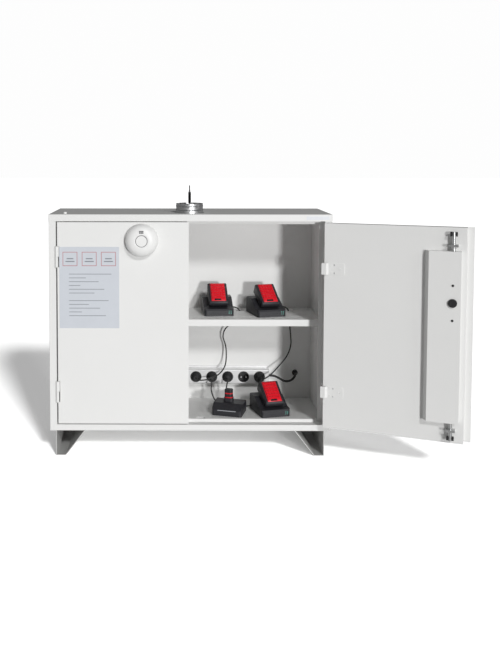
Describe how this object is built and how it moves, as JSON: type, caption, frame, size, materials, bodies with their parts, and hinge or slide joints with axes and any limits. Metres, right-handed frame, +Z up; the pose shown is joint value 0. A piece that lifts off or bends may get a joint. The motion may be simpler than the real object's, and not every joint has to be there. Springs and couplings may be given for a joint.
{
  "type": "battery charging cabinet",
  "caption": "Steel two-door cabinet for charging and storing battery packs, with a shelf, socket strip, roof duct with fire damper, smoke detector and folded feet.",
  "frame": {"origin": "on the floor, below the middle of the body's front plane", "axes": "+X to the right, +Y from front to back, +Z up"},
  "size_m": [1.4343, 0.5374, 0.966],
  "materials": {
    "cabinet_paint": "light grey fine-textured powder coat, semi-matt",
    "zinc_plate": "bright zinc plating",
    "galvanised": "galvanised sheet",
    "foot_paint": "grey powder coat",
    "white_plastic": "moulded white plastic",
    "anodised_aluminium": "satin anodised",
    "black_plastic": "matt moulded black",
    "charger_plastic": "textured moulded charcoal",
    "red_plastic": "moulded red",
    "cord_rubber": "matt black sheath"
  },
  "bodies": {
    "cabinet": {"lid": "cabinet_paint", "side_left": "cabinet_paint", "side_right": "cabinet_paint", "back_wall": "cabinet_paint", "base": "cabinet_paint", "floor_pan": "cabinet_paint", "stop_flanges": "cabinet_paint", "shelf": "cabinet_paint", "frame_hinges": "cabinet_paint", "shelf_brackets": "zinc_plate", "damper_cage": "zinc_plate", "duct_spigot": "galvanised", "front_feet": "foot_paint", "rear_feet": "foot_paint", "lid_plug": "white_plastic", "socket_strip": "anodised_aluminium", "socket_inserts": "black_plastic", "mains_plugs": "black_plastic", "charger_upper_left": "charger_plastic", "charger_upper_right": "charger_plastic", "charger_lower_right": "charger_plastic", "charger_lower_left": "charger_plastic", "cable_grommet": "cord_rubber", "supply_cable": "cord_rubber", "cord_upper_left": "cord_rubber", "cord_upper_right": "cord_rubber", "cord_lower_left": "cord_rubber", "cord_lower_right": "cord_rubber"},
    "left_door": {"left_door_skin": "cabinet_paint", "left_door_box": "cabinet_paint", "left_door_hinges": "cabinet_paint", "left_hook_plates": "cabinet_paint", "smoke_detector": "white_plastic"},
    "left_bolt_top": {"left_bolt_top": "zinc_plate"},
    "left_bolt_bottom": {"left_bolt_bottom": "zinc_plate"},
    "test_button": {"test_button": "white_plastic"},
    "right_door": {"right_door_skin": "cabinet_paint", "right_door_box": "cabinet_paint", "right_door_hinges": "cabinet_paint", "right_hook_plates": "cabinet_paint", "lock_cover": "cabinet_paint", "lock_boss": "black_plastic", "rod_guides": "zinc_plate", "escutcheon": "anodised_aluminium"},
    "handle": {"handle": "black_plastic", "lock_cam": "zinc_plate"},
    "key_plug": {"key_plug": "zinc_plate"},
    "rod_top": {"rod_top": "zinc_plate"},
    "rod_bottom": {"rod_bottom": "zinc_plate"},
    "rollers_top": {"rollers_top": "black_plastic"},
    "rollers_bottom": {"rollers_bottom": "black_plastic"},
    "damper_blade_left": {"damper_blade_left": "galvanised"},
    "damper_blade_right": {"damper_blade_right": "galvanised"},
    "pack_upper_left": {"pack_upper_left": "charger_plastic", "pack_face_upper_left": "red_plastic"},
    "pack_upper_right": {"pack_upper_right": "charger_plastic", "pack_face_upper_right": "red_plastic"},
    "pack_lower_right": {"pack_lower_right": "charger_plastic", "pack_face_lower_right": "red_plastic"},
    "pack_lower_left": {"pack_lower_left": "charger_plastic"}
  },
  "joints": [
    {"name": "left_door_hinge", "type": "hinge", "parent": "cabinet", "child": "left_door", "pos_m": [-0.472, -0.003, 0.45], "axis": [0, 0, -1], "range_deg": [0, 155]},
    {"name": "right_door_hinge", "type": "hinge", "parent": "cabinet", "child": "right_door", "pos_m": [0.472, -0.003, 0.45], "axis": [0, 0, 1], "range_deg": [-158.4, 0]},
    {"name": "handle_turn", "type": "hinge", "parent": "right_door", "child": "handle", "pos_m": [0.87405, -0.16378, 0.592], "axis": [0.3649, 0.9311, 0], "range_deg": [0, 90]},
    {"name": "key_turn", "type": "hinge", "parent": "right_door", "child": "key_plug", "pos_m": [0.87588, -0.15913, 0.637], "axis": [0.3649, 0.9311, 0], "range_deg": [0, 90]},
    {"name": "rod_top_slide", "type": "slide", "parent": "right_door", "child": "rod_top", "axis": [0, 0, 1], "range_m": [0, 0.016]},
    {"name": "rod_bottom_slide", "type": "slide", "parent": "right_door", "child": "rod_bottom", "axis": [0, 0, -1], "range_m": [0, 0.016]},
    {"name": "rollers_top_spin", "type": "hinge", "parent": "rod_top", "child": "rollers_top", "pos_m": [0.858, -0.20475, 0.8185], "axis": [-0.9311, 0.3649, 0], "continuous": true},
    {"name": "rollers_bottom_spin", "type": "hinge", "parent": "rod_bottom", "child": "rollers_bottom", "pos_m": [0.858, -0.20475, 0.1385], "axis": [-0.9311, 0.3649, 0], "continuous": true},
    {"name": "left_bolt_top_slide", "type": "slide", "parent": "left_door", "child": "left_bolt_top", "axis": [0, 0, 1], "range_m": [0, 0.014]},
    {"name": "left_bolt_bottom_slide", "type": "slide", "parent": "left_door", "child": "left_bolt_bottom", "axis": [0, 0, -1], "range_m": [0, 0.014]},
    {"name": "test_button_press", "type": "slide", "parent": "left_door", "child": "test_button", "axis": [0, 1, 0], "range_m": [0, 0.0008], "stiffness_N_per_m": 800},
    {"name": "damper_left_fold", "type": "hinge", "parent": "cabinet", "child": "damper_blade_left", "pos_m": [-0.0042, 0.088, 0.903], "axis": [0, -1, 0], "range_deg": [0, 88]},
    {"name": "damper_right_fold", "type": "hinge", "parent": "cabinet", "child": "damper_blade_right", "pos_m": [0.0022, 0.088, 0.903], "axis": [0, 1, 0], "range_deg": [0, 88]},
    {"name": "pack_upper_left_slide", "type": "slide", "parent": "cabinet", "child": "pack_upper_left", "axis": [-0.0457, 0.8713, 0.4886], "range_m": [0, 0.04]},
    {"name": "pack_upper_right_slide", "type": "slide", "parent": "cabinet", "child": "pack_upper_right", "axis": [-0.2111, 0.8466, 0.4886], "range_m": [0, 0.04]},
    {"name": "pack_lower_right_slide", "type": "slide", "parent": "cabinet", "child": "pack_lower_right", "axis": [-0.2111, 0.8466, 0.4886], "range_m": [0, 0.04]},
    {"name": "pack_lower_left_slide", "type": "slide", "parent": "cabinet", "child": "pack_lower_left", "axis": [0, 0, 1], "range_m": [0, 0.04]}
  ],
  "couplings": [
    {"joint": "handle_turn", "follows": "rod_top_slide", "rad_per_m": 98.17},
    {"joint": "rod_bottom_slide", "follows": "rod_top_slide", "ratio": 1}
  ]
}
